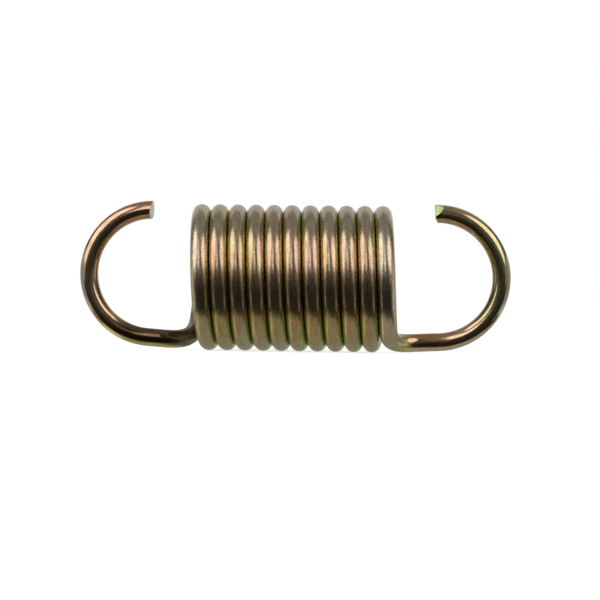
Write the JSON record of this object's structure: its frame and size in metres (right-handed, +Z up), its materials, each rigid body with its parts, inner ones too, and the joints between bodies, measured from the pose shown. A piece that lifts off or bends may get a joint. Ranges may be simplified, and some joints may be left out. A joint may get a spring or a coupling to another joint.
{
  "type": "extension spring",
  "caption": "Close-wound round wire tension coil with an open side hook at each end, for pulling two pegs or plates together.",
  "frame": {"origin": "on the ground, below the middle of the overall length and of the coil's width", "axes": "+X along the coil's axis to the right hook, +Z up towards the mouths of the hooks, -Y towards the viewer"},
  "size_m": [0.0724, 0.0244, 0.025],
  "materials": {
    "wire": "drawn spring steel, zinc plated and yellow chromated"
  },
  "bodies": {
    "root": {"spring_wire": "wire"}
  },
  "joints": []
}
